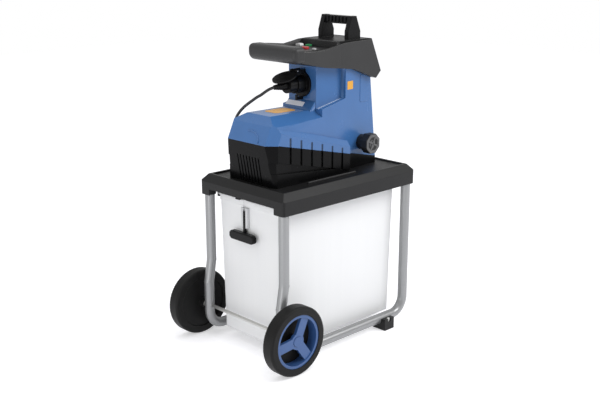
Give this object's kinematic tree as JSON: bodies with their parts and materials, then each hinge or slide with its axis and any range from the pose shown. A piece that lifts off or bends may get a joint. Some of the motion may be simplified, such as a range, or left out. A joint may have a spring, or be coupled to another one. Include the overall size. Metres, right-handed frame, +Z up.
{
  "type": "garden shredder",
  "caption": "Electric garden shredder: drum cutter and motor in a blue housing with feed hopper and pusher, on a wheeled tube stand over a slide-out white collection box.",
  "frame": {"origin": "middle of the machine's own footprint, on the floor, without the lead", "axes": "+X from the wheels to the feet, +Y across to the side away from the adjusting knob, +Z up"},
  "size_m": [0.611, 0.5215, 0.908],
  "materials": {
    "black_plastic": "fine moulded grain",
    "dark_plastic": "fine moulded grain",
    "blue_plastic": "smooth moulded blue",
    "tube_silver": "satin silver lacquer",
    "zinc_steel": "zinc plated",
    "box_white": "slightly translucent white moulding",
    "grey_plastic": "moulded grey",
    "green_plastic": "moulded green",
    "red_plastic": "moulded red",
    "white_plastic": "moulded white",
    "tool_steel": "machined",
    "core_steel": "laminated",
    "cast_alloy": "die cast",
    "can_metal": "black lacquer",
    "contact_brass": "plated",
    "cord_rubber": "matt sheath"
  },
  "bodies": {
    "machine": {"top_tray": "black_plastic", "near_foot": "black_plastic", "far_foot": "black_plastic", "lower_housing": "black_plastic", "control_panel": "black_plastic", "inlet_socket": "black_plastic", "lead_plug": "black_plastic", "plug_relief": "black_plastic", "lead_connector": "black_plastic", "lead_relief": "black_plastic", "hopper": "dark_plastic", "safety_switch": "dark_plastic", "coil_tie": "dark_plastic", "upper_housing": "blue_plastic", "axle_caps": "blue_plastic", "near_side_tube": "tube_silver", "far_side_tube": "tube_silver", "axle": "zinc_steel", "wheel_washers": "zinc_steel", "foot_bolts": "zinc_steel", "socket_screws": "zinc_steel", "unit_bolts": "zinc_steel", "lid_hinge_pin": "zinc_steel", "plug_pins": "zinc_steel", "idler_pin": "zinc_steel", "drum_bearings": "tool_steel", "motor_bearings": "tool_steel", "stator_core": "core_steel", "cutter_frame": "cast_alloy", "gear_case": "cast_alloy", "run_capacitor": "cast_alloy", "motor_can": "can_metal", "inlet_pins": "contact_brass", "lead_cord": "cord_rubber", "lead_coil": "cord_rubber"},
    "near_wheel": {"near_tyre": "black_plastic", "near_hub": "blue_plastic"},
    "far_wheel": {"far_tyre": "black_plastic", "far_hub": "blue_plastic"},
    "box": {"collection_box": "box_white", "lock_channel": "grey_plastic"},
    "lock": {"lock_slider": "black_plastic"},
    "start": {"start_button": "green_plastic"},
    "stop": {"stop_button": "red_plastic"},
    "rocker": {"direction_switch": "white_plastic"},
    "reset": {"overload_reset": "grey_plastic"},
    "pusher": {"pusher": "black_plastic"},
    "lid": {"inlet_lid": "black_plastic"},
    "knob": {"adjusting_knob": "dark_plastic", "adjusting_screw": "zinc_steel"},
    "plate": {"pressure_plate": "tool_steel"},
    "drum": {"cutting_drum": "tool_steel", "drum_shaft": "tool_steel", "drum_gear": "tool_steel"},
    "idler": {"idler_gear": "tool_steel"},
    "rotor": {"rotor_core": "core_steel", "motor_shaft": "tool_steel", "cooling_fan": "dark_plastic"}
  },
  "joints": [
    {"name": "near_wheel_spin", "type": "hinge", "parent": "machine", "child": "near_wheel", "pos_m": [-0.2095, -0.201, 0.096], "axis": [0, 1, 0], "continuous": true},
    {"name": "far_wheel_spin", "type": "hinge", "parent": "machine", "child": "far_wheel", "pos_m": [-0.2095, 0.201, 0.096], "axis": [0, 1, 0], "continuous": true},
    {"name": "box_slide", "type": "slide", "parent": "machine", "child": "box", "axis": [1, 0, 0], "range_m": [0, 0.4]},
    {"name": "lock_lift", "type": "slide", "parent": "box", "child": "lock", "axis": [0, 0, 1], "range_m": [0, 0.038]},
    {"name": "start_press", "type": "slide", "parent": "machine", "child": "start", "axis": [0, 0, -1], "range_m": [0, 0.003], "stiffness_N_per_m": 400},
    {"name": "stop_press", "type": "slide", "parent": "machine", "child": "stop", "axis": [0, 0, -1], "range_m": [0, 0.0035], "stiffness_N_per_m": 400},
    {"name": "reset_press", "type": "slide", "parent": "machine", "child": "reset", "axis": [0, 0, -1], "range_m": [0, 0.0025], "stiffness_N_per_m": 400},
    {"name": "direction_rock", "type": "hinge", "parent": "machine", "child": "rocker", "pos_m": [0.0535, 0.051, 0.825], "axis": [1, 0, 0], "range_deg": [-8, 8]},
    {"name": "pusher_lift", "type": "slide", "parent": "machine", "child": "pusher", "axis": [0, 0, 1], "range_m": [0, 0.16]},
    {"name": "lid_swing", "type": "hinge", "parent": "machine", "child": "lid", "pos_m": [-0.0155, 0, 0.767], "axis": [0, 1, 0], "range_deg": [0, 34]},
    {"name": "knob_turn", "type": "hinge", "parent": "machine", "child": "knob", "pos_m": [0.1845, -0.09, 0.552], "axis": [0, 1, 0], "range_deg": [-10, 910]},
    {"name": "plate_feed", "type": "slide", "parent": "machine", "child": "plate", "axis": [0, 1, 0], "range_m": [0, 0.005]},
    {"name": "motor_spin", "type": "hinge", "parent": "machine", "child": "rotor", "pos_m": [-0.07, 0, 0.577], "axis": [1, 0, 0], "continuous": true},
    {"name": "idler_spin", "type": "hinge", "parent": "machine", "child": "idler", "pos_m": [0.01, -0.03716, 0.56516], "axis": [1, 0, 0], "continuous": true},
    {"name": "drum_spin", "type": "hinge", "parent": "machine", "child": "drum", "pos_m": [0.12, 0.009, 0.552], "axis": [1, 0, 0], "continuous": true}
  ],
  "couplings": [
    {"joint": "knob_turn", "follows": "plate_feed", "rad_per_m": 3141.6},
    {"joint": "idler_spin", "follows": "motor_spin", "ratio": -0.3},
    {"joint": "drum_spin", "follows": "motor_spin", "ratio": 0.1}
  ]
}
